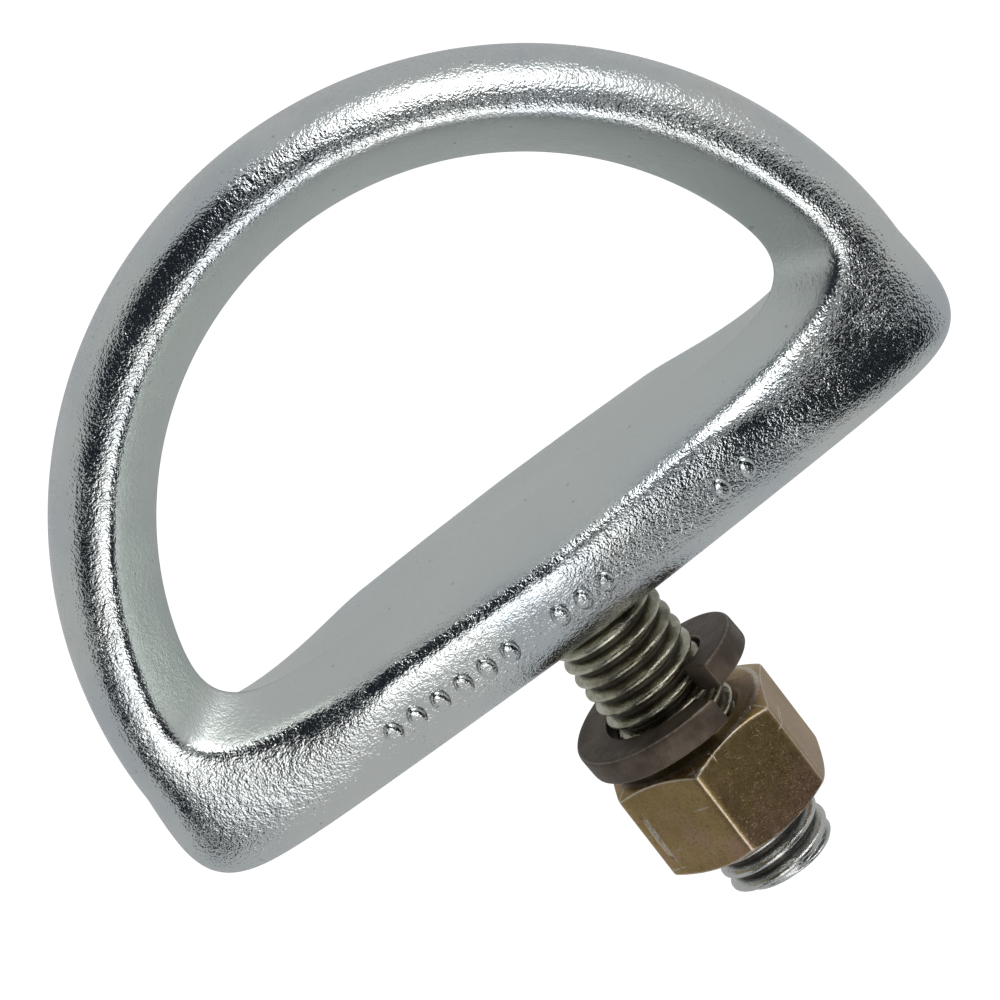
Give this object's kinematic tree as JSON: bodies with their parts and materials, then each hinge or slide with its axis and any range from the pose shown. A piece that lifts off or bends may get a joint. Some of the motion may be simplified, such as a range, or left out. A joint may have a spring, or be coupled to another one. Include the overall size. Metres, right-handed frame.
{
  "type": "d-ring anchor bolt",
  "caption": "Forged D-shaped ring with a flat-seated base bar on a threaded stud, held by a split lock washer and a hex nut.",
  "frame": {"origin": "centre of the flat seat under the base bar, on the stud's axis", "axes": "+X along the base bar, +Y from the front of the ring to the back, through its eye, +Z from the seat up through the arch; the stud points along -Z"},
  "size_m": [0.0988, 0.0278, 0.1006],
  "materials": {
    "bright_zinc": "bright zinc plated forging with a fine shot-blast grain",
    "thread_zinc": "zinc plated rolled thread, slightly yellow, darker in the roots",
    "brown_oxide": "dark brown oiled oxide, dull, worn at the edges",
    "yellow_zinc": "yellow passivated zinc, uneven gold to brown, worn bright at the edges"
  },
  "bodies": {
    "ring": {"d_ring": "bright_zinc", "threaded_stud": "thread_zinc"},
    "washer": {"lock_washer": "brown_oxide"},
    "nut": {"hex_nut": "yellow_zinc"}
  },
  "joints": [
    {"name": "nut_travel", "type": "slide", "parent": "ring", "child": "washer", "axis": [0, 0, 1], "range_m": [-0.0199, 0.0086]},
    {"name": "nut_turn", "type": "hinge", "parent": "washer", "child": "nut", "pos_m": [0, 0, -0.0232], "axis": [0, 0, 1], "range_deg": [-3667, 1585]}
  ],
  "couplings": [
    {"joint": "nut_turn", "follows": "nut_travel", "rad_per_m": 3215.6}
  ]
}
